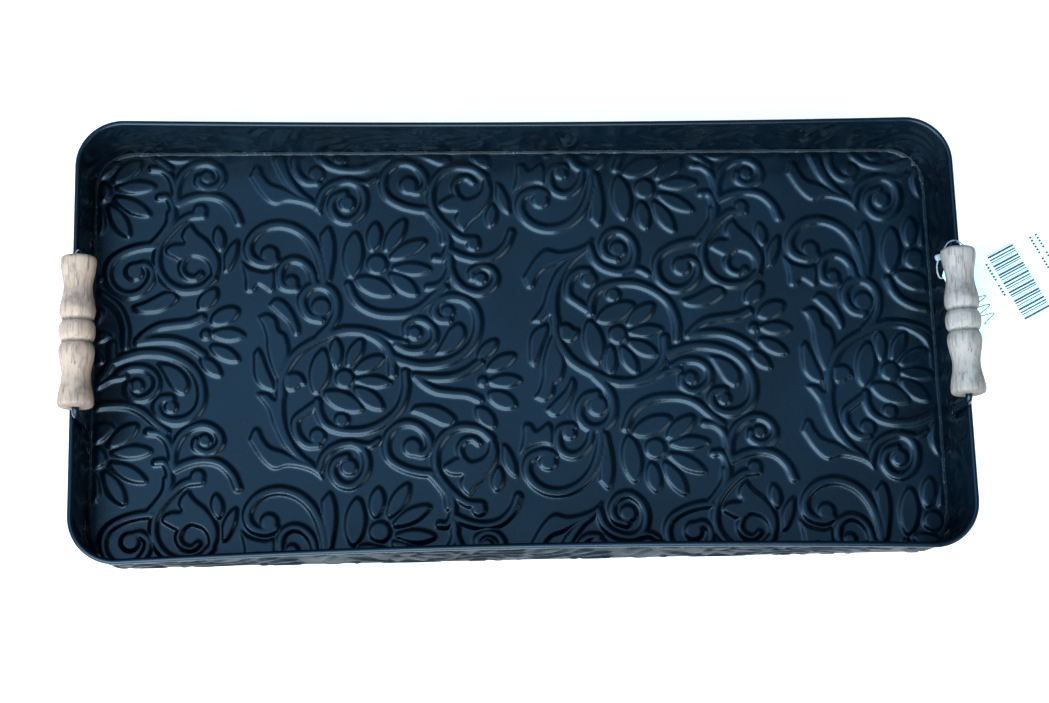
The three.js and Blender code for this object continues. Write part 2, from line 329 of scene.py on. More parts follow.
@dataclass(frozen=True)
class LimedWood(Finish):
    """Turned wood, limed and weathered: fine lengthwise grain, open pores and small knots, with painted shade
    in the grooves and at both ends.
    """

    centre: tuple
    pale: tuple
    warm: tuple
    grain_dark: tuple
    knots: float
    half_length: float = 0.0425
    groove: float = 0.0062
    # Painted shade laid into the two grooves either side of the middle bead.
    painted_groove_shade: tuple = (0.10, 0.085, 0.075)
    knot_ring: tuple = (0.21, 0.13, 0.09)
    pinhole: tuple = (0.045, 0.030, 0.022)
    # Darker ends: painted shade, together with the darker tone of the end grain.
    painted_end_shade: tuple = (0.13, 0.095, 0.07)

    def lay(self, tree: ShaderTree) -> None:
        """Adds the wood's nodes.

        Args:
            tree: the material's empty node tree.
        """
        along = tree.place(self.centre, (1, 0.075, 1))
        near = tree.place(self.centre)
        streaks = tree.noise(along, 560, 5, 0.62)
        pores = tree.noise(tree.place(self.centre, (1, 0.05, 1)), 1350, 2).step(0.60, 0.72)
        bands = tree.noise(along, 130, 3).step(0.35, 0.68)
        holes = tree.cells(tree.place(self.centre, (1, 0.55, 1)), 95)
        knotty = tree.noise(near, 46, 2) + self.knots
        pinholes = (1 - holes.step(0.05, 0.17)) * knotty.step(0.70, 0.76)
        halo = (1 - holes.step(0.10, 0.42)) * knotty.step(0.64, 0.78)
        ends = tree.node("ShaderNodeSeparateXYZ", None, {0: near}).outputs["Y"]
        reach = Value(tree, ends).math("ABSOLUTE")
        # Darker over the last few millimetres at both ends: painted shade, with the end grain's own darker
        # tone.
        end_shade_share = reach.step(self.half_length - 0.0022, self.half_length)
        # Painted shade: the colour is darkened in the two grooves either side of the middle bead.
        groove_shade_share = 1 - (reach - self.groove).math("ABSOLUTE").step(0.0003, 0.0014)
        mottled = tree.noise(near, 85, 4, 0.6).step(0.48, 0.72)
        colour = tree.blend(bands, self.pale, self.warm)
        colour = tree.blend(streaks.step(0.47, 0.72) * 0.70, colour, self.grain_dark)
        colour = tree.blend(pores * 0.60, colour, self.grain_dark)
        colour = tree.blend(mottled * 0.48, colour, self.grain_dark)
        colour = tree.blend(groove_shade_share * 0.55, colour, self.painted_groove_shade)
        colour = tree.blend(halo * 0.40, colour, self.knot_ring)
        colour = tree.blend(pinholes, colour, self.pinhole)
        colour = tree.blend(end_shade_share * 0.55, colour, self.painted_end_shade)
        tree.surface({
            "Base Color": colour,
            "Roughness": 0.62 + 0.22 * streaks,
            "Specular IOR Level": 0.3,
            "Normal": tree.bump(streaks * 0.7 - pores * 0.8 - pinholes * 1.6, 0.0003, 0.8),
        })


@dataclass(frozen=True)
class TagCard(Finish):
    """Smooth coated card, pale blue, bluer towards its hole and faintly scuffed, with a painted glow of its
    own that brightens it.
    """

    name: str = "tag_card_finish"
    pale: tuple = (0.66, 0.89, 0.95)
    blue: tuple = (0.42, 0.74, 0.90)
    # Painted light: the colour and strength of the glow the card gives off by itself.
    glow: tuple = (0.62, 0.90, 1.00)
    painted_glow_strength: float = 0.95
    hole: tuple = (0.247, 0.031, 0.052)

    def lay(self, tree: ShaderTree) -> None:
        """Adds the card's nodes.

        Args:
            tree: the material's empty node tree.
        """
        here = tree.place(self.hole)
        reach = tree.node("ShaderNodeVectorMath", {"operation": "LENGTH"}, {0: here}).outputs["Value"]
        near_hole = 1 - Value(tree, reach).step(0.004, 0.060)
        fibre = tree.noise(here, 900, 3)
        cloud = tree.noise(here, 45, 3)
        bluer = (near_hole * 0.7 + cloud * 0.25) * (0.9 + 0.1 * fibre)
        tree.surface({
            "Base Color": tree.blend(bluer, self.pale, self.blue),
            "Roughness": 0.42 + 0.2 * cloud,
            # Painted light: an emission that brightens the card though it is no lamp.
            "Emission Color": (*self.glow, 1.0),
            "Emission Strength": self.painted_glow_strength,
            "Normal": tree.bump(fibre, 0.00003, 0.6),
        })


@dataclass(frozen=True)
class PrintInk(Finish):
    """Dark grey ink, thinner in places where the card's grain shows through."""

    name: str = "tag_ink"
    solid: tuple = (0.050, 0.065, 0.080)
    thin: tuple = (0.16, 0.21, 0.24)

    def lay(self, tree: ShaderTree) -> None:
        """Adds the ink's nodes.

        Args:
            tree: the material's empty node tree.
        """
        grain = tree.noise(tree.place(), 1300, 3)
        tree.surface({
            "Base Color": tree.blend(grain.step(0.45, 0.75), self.solid, self.thin),
            "Roughness": 0.55 + 0.2 * grain,
            "Normal": tree.bump(grain, 0.00001, 0.5),
        })


@dataclass(frozen=True)
class ClearPlastic(Finish):
    """Translucent moulded plastic, faintly milky."""

    name: str = "clear_loop_plastic"
    clear: tuple = (0.86, 0.94, 0.96)
    milky: tuple = (0.70, 0.82, 0.86)

    def lay(self, tree: ShaderTree) -> None:
        """Adds the plastic's nodes.

        Args:
            tree: the material's empty node tree.
        """
        cloud = tree.noise(tree.place(), 420, 3)
        tree.surface({
            "Base Color": tree.blend(cloud, self.clear, self.milky),
            "Roughness": 0.18 + 0.2 * cloud,
            "Transmission Weight": 0.45,
            "IOR": 1.46,
            "Normal": tree.bump(cloud, 0.00005, 0.5),
        })


@dataclass(frozen=True)
class DrawnWire(Finish):
    """Drawn steel wire with fine die lines, hidden inside the curl."""

    name: str = "drawn_steel_wire"
    bright: tuple = (0.50, 0.51, 0.52)
    dull: tuple = (0.30, 0.30, 0.31)

    def lay(self, tree: ShaderTree) -> None:
        """Adds the wire's nodes.

        Args:
            tree: the material's empty node tree.
        """
        lines = tree.noise(tree.place(stretch=(1, 1, 4)), 700, 4)
        tree.surface({
            "Base Color": tree.blend(lines, self.bright, self.dull),
            "Roughness": 0.28 + 0.25 * lines,
            "Metallic": 1.0,
            "Normal": tree.bump(lines, 0.00004, 0.6),
        })


# ---------------------------------------------------------------- embossed pattern

@dataclass(frozen=True)
class Ridge:
    """A raised line of one width, in mm."""

    width: float
    line: tuple


@dataclass(frozen=True)
class Knob:
    """A raised round, in mm."""

    x: float
    y: float
    radius: float


@dataclass(frozen=True)
class Petal:
    """A raised petal, pointed at both ends, in mm and degrees from +X."""

    x: float
    y: float
    length: float
    width: float
    angle: float


@dataclass(frozen=True)
class Leaf:
    """A raised leaf with a free outline, in mm."""

    outline: tuple


RING = (
    Ridge(5, ((-141, -26), (-140, -14), (-132.5, -1), (-121, 7), (-108, 12.5), (-97, 13.5), (-88, 10.5),
              (-80, 4.5), (-76, -4), (-75.5, -13))),
    Ridge(4.5, ((-68, -12), (-68, -23), (-72, -34), (-80, -41.5), (-90, -46), (-100, -47), (-109, -45.5),
                (-115.5, -42), (-119, -35), (-119.5, -29))),
    Ridge(4.5, ((-119.5, -30), (-126, -34.5), (-132, -39.5), (-132.3, -46), (-129.5, -51.5), (-125, -54.5),
                (-119.5, -54.5))),
    Ridge(3.5, ((-104, 14.5), (-94, 14), (-84, 11.5), (-76, 7.5), (-68, 6))),
    Knob(-119.5, -49.5, 4.6),
    Knob(-105.5, -40, 4.2),
)

RING_FLOWER = (
    Knob(-103.5, -15.5, 5.5),
    Petal(-118, -11, 27, 12, 80),
    Petal(-108.5, 0, 18, 7.5, 92),
    Petal(-97.5, 0, 19, 8, 62),
    Petal(-89, -7, 20, 8.5, 26),
    Petal(-87, -17.5, 21, 7.5, -5),
    Petal(-89.5, -27.5, 21, 9.5, -38),
    Petal(-104.5, -29, 25, 11, -24),
    Leaf(((-138, -12.5), (-132, -11.5), (-128, -14), (-126.5, -18.5), (-129.5, -19), (-133, -22),
          (-138, -21))),
)

STEM_LEAVES = (
    Leaf(((-154, 22), (-149, 24), (-144, 21), (-142, 14), (-138, 10.5), (-136, 0), (-139, -8),
          (-142, -16), (-146, -8), (-148.5, 2), (-149, 10), (-151, 17))),
    Leaf(((-156.5, 0), (-154, 3), (-151.5, -1), (-148.5, -9), (-144.5, -19), (-146, -22), (-152, -19.5),
          (-156, -13))),
    Leaf(((-147.5, 29.5), (-144, 33), (-139, 31.5), (-134, 25), (-130, 15), (-132, 11), (-136, 18),
          (-142, 24))),
    Leaf(((-154.5, -24), (-149, -23.5), (-144, -27.5), (-141, -21), (-138, -22), (-139, -31), (-138, -42),
          (-134, -52), (-128, -60.5), (-121, -66.5), (-130, -64), (-137, -57), (-141, -51), (-145, -42),
          (-148, -33))),
    Leaf(((-159, -51), (-156.5, -45), (-153.5, -45), (-151.5, -50), (-147, -55.5), (-139, -58.5),
          (-130, -63), (-121, -66.5), (-117, -74.5), (-121, -71), (-128, -68), (-137, -66.5), (-145, -68),
          (-152, -62))),
)

SCROLLS = (
    Ridge(5, ((-118, 9.5), (-111.5, 16.5), (-108.3, 24), (-108.3, 32), (-111.5, 38), (-117.5, 41),
              (-124, 39.5), (-128.3, 33.5), (-127.5, 27), (-123.5, 22), (-117.5, 20.5))),
    Knob(-117, 27.5, 5.8),
    Ridge(5, ((-115.5, 43), (-116.5, 52), (-119, 61), (-124, 69.5), (-131, 75.5), (-140, 78.5),
              (-149, 77.5), (-156, 73), (-160, 66), (-159, 59.5), (-155, 56), (-149, 54.8),
              (-144, 56.5))),
    Knob(-147.5, 60.3, 5),
    Ridge(4.5, ((-121, 43), (-123, 50), (-128, 55.5), (-134, 57), (-139.5, 54), (-141.5, 48),
                (-140.5, 42), (-137, 39.8), (-132, 39.5))),
    Knob(-134.5, 43.5, 3.8),
    Leaf(((-117.5, 72), (-112.5, 77), (-109.5, 70), (-109, 60), (-110.5, 50), (-112, 43.5), (-114.5, 44),
          (-115, 52), (-117, 61))),
    Leaf(((-163.5, 55), (-158, 51.5), (-150, 49.5), (-145, 50.5), (-144, 46), (-144.5, 41), (-146.5, 37.5),
          (-151, 40.5), (-154.5, 42), (-157, 38), (-161, 38.5), (-161.5, 46))),
    Ridge(4.5, ((-119, -70), (-115.5, -61), (-109, -55.8), (-100, -54), (-93.3, -58), (-91, -66),
                (-93.5, -74), (-100, -79), (-107, -77.5), (-111, -71), (-109, -64.5), (-103, -62))),
    Knob(-101.5, -68, 4.8),
    Ridge(3.5, ((-98, -54), (-90, -55.5), (-84, -52.5))),
)

OPEN_FLOWER = (
    Knob(-84, 53.5, 6),
    Petal(-98, 59.5, 28, 12, 84),
    Petal(-85.5, 70.5, 18, 9, 82),
    Petal(-73, 71.5, 23, 9, 58),
    Petal(-65.5, 62.5, 24, 8.5, 27),
    Petal(-63.5, 50.5, 23, 8, -2),
    Petal(-68.5, 41, 21, 9.5, -38),
    Petal(-85.5, 40, 25, 11, -22),
    Ridge(4.5, ((-101, 41), (-98, 33.5), (-93, 28), (-85, 24), (-76, 22.8), (-66, 23.5), (-58, 27),
                (-50, 34), (-44, 39))),
    Ridge(4, ((-54, 39), (-48, 40), (-43, 44.5), (-40.5, 52), (-40.5, 57))),
    Ridge(4, ((-49.5, 57), (-45, 57), (-42, 62), (-41.5, 70), (-44.5, 77))),
)

TULIP = (
    Ridge(4.5, ((138, 85), (129, 83.5), (120, 76), (113.5, 67), (111.5, 58), (113, 50), (118, 43),
                (125, 39.3), (132, 39), (139, 41), (144.5, 46))),
    Leaf(((131, 79.5), (135, 74), (141, 69), (146, 62.5), (148.5, 55), (147, 48), (143.5, 43), (143.3, 50),
          (142, 54.5), (138.5, 58), (132.5, 59.5), (129, 57), (125, 57), (121, 59), (116.5, 62),
          (117.5, 65), (121.5, 67), (127.5, 67.5), (126, 71.5), (127.5, 76))),
    Ridge(3.5, ((127.5, 58), (125.8, 52), (128.5, 47.3), (133.5, 46), (137, 48.5))),
    Ridge(4.5, ((110, 66), (103, 65.5), (94, 63), (86, 58), (83, 51), (84.5, 43), (90, 37.5), (97, 36.2),
                (103.5, 39), (108, 45), (108.5, 51), (104.5, 54.5), (99, 53.5))),
    Knob(98.5, 50.5, 5.3),
    Ridge(4, ((108, 66), (113, 71.5), (118, 79), (119, 86))),
    Petal(147.8, 70, 14.5, 7, 98),
    Leaf(((151, 50), (151, 59), (154.5, 66), (158.8, 68.8), (158.8, 62), (156.5, 55.5), (153.5, 50.5))),
    Leaf(((98, 29.5), (104, 31.5), (110, 34.5), (116, 37.5), (121, 38), (124, 34.5), (121, 30.5),
          (114, 26.5), (106, 25.5), (100, 26.5))),
)

SPRAY = (
    Ridge(4.5, ((101, 8), (106, 13), (113, 17), (122, 18.5), (131, 19.5), (138, 22.5))),
    Ridge(4.5, ((101, 8), (112, 9.3), (122, 8.8), (131, 5.5), (139, 0))),
    Ridge(5, ((88, -3), (95, -0.5), (104, 1.5), (114, 1), (123, -1.5), (131, -6.5), (136.5, -14),
              (138.5, -24), (136.5, -32.5), (130.5, -38), (122.5, -39.5), (115.5, -37), (112.5, -31),
              (115, -26.5), (120.5, -25.8))),
    Knob(120.5, -30.8, 3.8),
    Ridge(4.3, ((90, -11), (97, -7.5), (106, -8), (111.8, -13), (112, -20), (107, -25), (100.5, -26),
                (96, -22), (96, -17))),
    Knob(100.8, -18, 4),
    Leaf(((113, -5), (119, -5.5), (126, -9), (130.5, -15.5), (130, -21), (127, -23.5), (122, -20.5),
          (118, -14))),
    Knob(140.5, 12, 3),
    Petal(143.5, -7.5, 16, 7.5, -43),
    Petal(151.5, 0.5, 19, 8, -28),
    Petal(153.5, 11.8, 19, 8, -3),
    Petal(151.5, 23, 18, 10, 25),
    Petal(141.5, 33.5, 16, 9, 50),
    Ridge(4.5, ((122, -65), (122.5, -57), (126, -49), (132, -43.8), (140, -42), (147, -45.5),
                (149.5, -51.5), (146.5, -56.5), (140.5, -58), (135.5, -55), (135.5, -51.5))),
    Knob(140.5, -51, 3.8),
    Ridge(4.5, ((123, -67.5), (131, -64), (140, -62.5), (149, -64.5), (156, -71), (159.5, -79))),
    Knob(136.5, -72, 4),
)


# Millimetres between a ridge's circles and between a leaf's corners, then a petal's circles and taper.
RIDGE_STEP = 0.8
LEAF_STEP = 1.6
PETAL_CIRCLES = 25
PETAL_TAPER = 0.62


def eased(value: np.ndarray) -> np.ndarray:
    """A smooth step, which is 0 up to 0 and 1 from 1 onwards.

    Args:
        value: places on the step.

    Returns:
        The share reached at each place.
    """
    share = np.clip(value, 0, 1)
    return share * share * (3 - 2 * share)


def smooth_line(points: Sequence[Sequence[float]], spacing: float) -> np.ndarray:
    """A smooth line through points, each stretch a cubic whose slopes come from its neighbours.

    Args:
        points: the points it passes through, of any dimension.
        spacing: roughly the longest step along it.

    Returns:
        Its points, one row each.
    """
    given = np.array(points, dtype=float)
    padded = np.vstack([2 * given[0] - given[1], given, 2 * given[-1] - given[-2]])
    pieces = []
    for index in range(1, len(padded) - 2):
        before, start, end, after = padded[index - 1:index + 3]
        steps = max(2, int(np.linalg.norm(end - start) / spacing) + 1)
        t = np.linspace(0, 1, steps, endpoint=False)[:, None]
        pieces.append(0.5 * (2 * start + (end - before) * t
                             + (2 * before - 5 * start + 4 * end - after) * t ** 2
                             + (3 * start - before - 3 * end + after) * t ** 3))
    return np.vstack([*pieces, given[-1:]])


def run_of(shape: Ridge | Knob | Petal) -> tuple[np.ndarray, np.ndarray]:
    """A shape as a run of circles.

    Args:
        shape: the ridge, knob or petal.

    Returns:
        The circles' centres and radii.
    """
    if isinstance(shape, Ridge):
        centres = smooth_line(shape.line, RIDGE_STEP)
        return centres, np.full(len(centres), shape.width / 2)
    if isinstance(shape, Knob):
        return np.array([[shape.x, shape.y]]), np.array([shape.radius])
    share = np.linspace(-1, 1, PETAL_CIRCLES)
    radii = shape.width / 2 * (1 - PETAL_TAPER * share ** 2)
    angle = math.radians(shape.angle)
    reach = (shape.length / 2 - radii[-1]) * share[:, None]
    return np.array([shape.x, shape.y]) + reach * (math.cos(angle), math.sin(angle)), radii


def depth_in_outline(corners: np.ndarray, across: np.ndarray, up: np.ndarray) -> np.ndarray:
    """How far places lie inside a closed outline, below 0 outside it.

    Args:
        corners: the outline's points.
        across: the places' X, in one row.
        up: the places' Y, in one column.

    Returns:
        The distances, for every row and column.
    """
    inside = np.zeros((len(up), across.shape[1]), dtype=bool)
    nearest = np.full(inside.shape, np.inf)
    for (ax, ay), (bx, by) in zip(corners, np.roll(corners, -1, axis=0)):
        if ay != by:
            inside ^= ((ay > up) != (by > up)) & (across < (bx - ax) * (up - ay) / (by - ay) + ax)
        length = max((bx - ax) ** 2 + (by - ay) ** 2, 1e-12)
        share = np.clip(((across - ax) * (bx - ax) + (up - ay) * (by - ay)) / length, 0, 1)
        away = np.hypot(across - ax - share * (bx - ax), up - ay - share * (by - ay))
        np.minimum(nearest, away, out=nearest)
    return np.where(inside, nearest, -nearest)


@dataclass
class Embossing:
    """The die's repeat: one set of motifs, the same set reflected and slid on, and both tiled."""

    motifs: tuple = (*RING, *RING_FLOWER, *STEM_LEAVES, *SCROLLS, *OPEN_FLOWER, *TULIP, *SPRAY)
    repeat_x: float = 325.0
    repeat_y: float = 159.5
    glide_x: float = 162.0
    glide_y: float = -6.5
    side_width: float = 1.4
    copies: int = 3

    def height(self, xs: np.ndarray, ys: np.ndarray) -> np.ndarray:
        """Share of the full relief on a grid of places.

        Args:
            xs: the columns' places in millimetres, rising.
            ys: the rows' places in millimetres, rising.

        Returns:
            Values from 0 to 1, a row for each of ys.
        """
        reach = np.full((len(ys), len(xs)), -np.inf)
        for shape in self.motifs:
            if isinstance(shape, Leaf):
                points, radii = smooth_line((*shape.outline, shape.outline[0]), LEAF_STEP)[:-1], None
            else:
                points, radii = run_of(shape)
            mirrored = np.column_stack([points[:, 0] + self.glide_x, self.glide_y - points[:, 1]])
            for hand in (points, mirrored):
                for i in range(-self.copies, self.copies + 1):
                    for j in range(-self.copies, self.copies + 1):
                        self.raise_shape(reach, xs, ys, hand + (i * self.repeat_x, j * self.repeat_y), radii)
        return eased((reach + self.side_width) / (2 * self.side_width))

    def raise_shape(self, reach: np.ndarray, xs: np.ndarray, ys: np.ndarray,
                    points: np.ndarray, radii: np.ndarray | None) -> None:
        """Notes how far inside one shape each place lies.

        Args:
            reach: the grid of distances inside, changed in place.
            xs: the columns' places.
            ys: the rows' places.
            points: the circles' centres, or an outline's points.
            radii: the circles' radii, or None for an outline.
        """
        margin = self.side_width + (0 if radii is None else radii.max())
        low, high = points.min(0) - margin, points.max(0) + margin
        columns = slice(np.searchsorted(xs, low[0]), np.searchsorted(xs, high[0]))
        rows = slice(np.searchsorted(ys, low[1]), np.searchsorted(ys, high[1]))
        across, up = xs[columns][None, :], ys[rows][:, None]
        if not across.size or not up.size:
            return
        part = reach[rows, columns]
        if radii is None:
            np.maximum(part, depth_in_outline(points, across, up), out=part)
            return
        for (x, y), radius in zip(points, radii):
            np.maximum(part, radius - np.hypot(across - x, up - y), out=part)


EMBOSSING = Embossing()


# ---------------------------------------------------------------- mesh tools

def finish_piece(name: str, mesh: bpy.types.Mesh, body: str, material: bpy.types.Material,
                 replaced: Sequence[str] = (), second: bpy.types.Material | None = None) -> None:
    """Puts a finished mesh in the scene, riding on its body.

    Args:
        name: the piece's name.
        mesh: its mesh, in the tray's own frame.
        body: the body it rides on.
        material: its material.
        replaced: the plain nodes it stands for.
        second: the material of the faces marked 1, if there are any.
    """
    piece = bpy.data.objects.new(name, mesh)
    bpy.context.scene.collection.objects.link(piece)
    for each in (material, second):
        if each:
            mesh.materials.append(each)
    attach(piece, body)
    if replaced:
        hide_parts(*replaced)
    LOG.info("%s: %d faces on %s", name, len(mesh.polygons), body)


def to_mesh(bm: bmesh.types.BMesh, name: str, smooth: bool = True) -> bpy.types.Mesh:
    """Turns a bmesh into a mesh and frees it.

    Args:
        bm: the bmesh.
        name: the mesh's name.
        smooth: whether its faces shade smoothly.

    Returns:
        The mesh.
    """
    for face in bm.faces:
        face.smooth = smooth
    mesh = bpy.data.meshes.new(name)
    bm.to_mesh(mesh)
    bm.free()
    return mesh


def wrapped_grid(columns: int, rows: int,
                 place: Callable[[np.ndarray, np.ndarray], np.ndarray]) -> bmesh.types.BMesh:
    """A grid of faces laid on a surface, its meeting edges welded and its faces turned outwards.

    Args:
        columns: faces along the first direction.
        rows: faces along the second direction.
        place: gives points in metres for shares from 0 to 1 in both directions.

    Returns:
        The bmesh.
    """
    bm = bmesh.new()
    bmesh.ops.create_grid(bm, x_segments=columns, y_segments=rows, size=0.5)
    flat = np.array([vertex.co[:2] for vertex in bm.verts]) + 0.5
    for vertex, point in zip(bm.verts, place(flat[:, 0], flat[:, 1])):
        vertex.co = point
    bmesh.ops.remove_doubles(bm, verts=bm.verts, dist=GRID_WELD)
    bmesh.ops.recalc_face_normals(bm, faces=bm.faces)
    return bm


def tube(route: np.ndarray, half_widths: np.ndarray, half_depths: np.ndarray, sides: int,
         flat_axis: Sequence[float]) -> bmesh.types.BMesh:
    """A tube along a route with an oval section that may change on the way.

    Args:
        route: points along its middle, in metres.
        half_widths: half the section across the flat axis, at each point.
        half_depths: half the section along the flat axis, at each point.
        sides: faces round the section.
        flat_axis: the direction of the section's depth.

    Returns:
        The bmesh, with its ends filled.
    """
    along = np.gradient(route, axis=0)
    along /= np.linalg.norm(along, axis=1)[:, None]
    axis = np.asarray(flat_axis, dtype=float)
    depth = axis - along * (along @ axis)[:, None]
    depth /= np.linalg.norm(depth, axis=1)[:, None]
    width = np.cross(along, depth)

    def place(u: np.ndarray, v: np.ndarray) -> np.ndarray:
        """Points round the tube.

        Args:
            u: shares of the way along it.
            v: shares of the way round it.

        Returns:
            The points, in metres.
        """
        index = np.rint(u * (len(route) - 1)).astype(int)
        angle = 2 * math.pi * v[:, None]
        return (route[index] + width[index] * half_widths[index][:, None] * np.cos(angle)
                + depth[index] * half_depths[index][:, None] * np.sin(angle))

    bm = wrapped_grid(len(route) - 1, sides, place)
    ends = [edge for edge in bm.edges if edge.is_boundary]
    bmesh.ops.holes_fill(bm, edges=ends, sides=sides)
    bmesh.ops.recalc_face_normals(bm, faces=bm.faces)
    return bm


def turned(profile: np.ndarray, centre: Sequence[float], axis: Sequence[float], out: Sequence[float],
           steps: int) -> bmesh.types.BMesh:
    """A piece turned on a lathe.

    Args:
        profile: rows of (radius, distance along the axis), in metres.
        centre: a point on the axis.
        axis: the axis's direction.
        out: a direction square to the axis, where the profile is drawn.
        steps: faces round the piece.

    Returns:
        The bmesh.
    """
    bm = bmesh.new()
    middle, lengthwise, outwards = Vector(centre), Vector(axis), Vector(out)
    points = [bm.verts.new(middle + outwards * float(r) + lengthwise * float(a)) for r, a in profile]
    edges = [bm.edges.new(pair) for pair in zip(points, points[1:])]
    bmesh.ops.spin(bm, geom=points + edges, cent=middle, axis=lengthwise, dvec=(0, 0, 0),
                   angle=2 * math.pi, steps=steps, use_merge=True, use_duplicate=False)
    bmesh.ops.remove_doubles(bm, verts=bm.verts, dist=SPIN_WELD)
    bmesh.ops.recalc_face_normals(bm, faces=bm.faces)
    return bm


def ripple(points: np.ndarray, scale: float, seed: float) -> np.ndarray:
    """A smooth irregular value at each point, from a few crossing waves.

    Args:
        points: rows of places in metres.
        scale: waves per metre, roughly.
        seed: shifts the waves.

    Returns:
        Values between -1 and 1.
    """
    total = np.zeros(len(points))
    for wave in range(6):
        turn = 2.399963 * wave + seed
        direction = np.array([math.cos(turn), math.sin(turn), math.cos(1.7 * turn)])
        total += np.sin(points @ direction * scale * (1 + 0.37 * wave) * 2 * math.pi + 5.1 * wave + seed)
    return total / 6


# ---------------------------------------------------------------- the tray's body

@dataclass
class Outline:
    """The tray's outline over its wired edge, walked anticlockwise from the near side's middle."""

    half_x: float = field(init=False)
    half_y: float = field(init=False)
    radius: float = 0.027
    bow_near: float = 0.0042
    bow_far: float = 0.0020

    def __post_init__(self) -> None:
        """Takes the size from the wall band's box."""
        low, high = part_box("wall_band")
        self.half_x = (high[0] - low[0]) / 2
        self.half_y = (high[1] - low[1]) / 2

    @property
    def length(self) -> float:
        """The distance round the outline."""
        straight = 4 * (self.half_x + self.half_y - 2 * self.radius)
        return straight + 2 * math.pi * self.radius

    def walk(self, share: np.ndarray) -> tuple[np.ndarray, np.ndarray, np.ndarray]:
        """Places round the outline.

        Args:
            share: how far round, from 0 to 1.

        Returns:
            The points, the outward directions, and how far the wall's top bows inwards there.
        """
        flat_x, flat_y = self.half_x - self.radius, self.half_y - self.radius
        arc = math.pi * self.radius / 2
        corners = ((1, -1), (1, 1), (-1, 1), (-1, -1))
        runs = (flat_x, arc, 2 * flat_y, arc, 2 * flat_x, arc, 2 * flat_y, arc, flat_x)
        starts = np.r_[0, np.cumsum(runs)]
        walked = np.asarray(share) * self.length
        points, normals = np.zeros((len(walked), 2)), np.zeros((len(walked), 2))
        bow = np.zeros(len(walked))
        for run in range(len(runs)):
            here = (walked >= starts[run] - 1e-12) & (walked <= starts[run + 1] + 1e-12)
            gone = walked[here] - starts[run]
            if run % 2 == 1:
                side_x, side_y = corners[run // 2]
                angle = (run // 2 - 1) * math.pi / 2 + gone / self.radius
                direction = np.column_stack([np.cos(angle), np.sin(angle)])
                points[here] = np.array([side_x * flat_x, side_y * flat_y]) + direction * self.radius
                normals[here] = direction
            else:
                turn = (run // 2 - 1) * math.pi / 2
                normal = np.array([math.cos(turn), math.sin(turn)])
                onward = np.array([-normal[1], normal[0]])
                if run == 0:
                    start = np.array([0, -self.half_y])
                else:
                    side_x, side_y = corners[run // 2 - 1]
                    start = np.array([side_x * flat_x, side_y * flat_y]) + normal * self.radius
                points[here] = start + gone[:, None] * onward
                normals[here] = normal
                if abs(normal[1]) > 0.5:
                    depth = self.bow_near if normal[1] < 0 else self.bow_far
                    bow[here] = depth * np.maximum(0, 1 - (points[here][:, 0] / flat_x) ** 2)
        return points, normals, bow


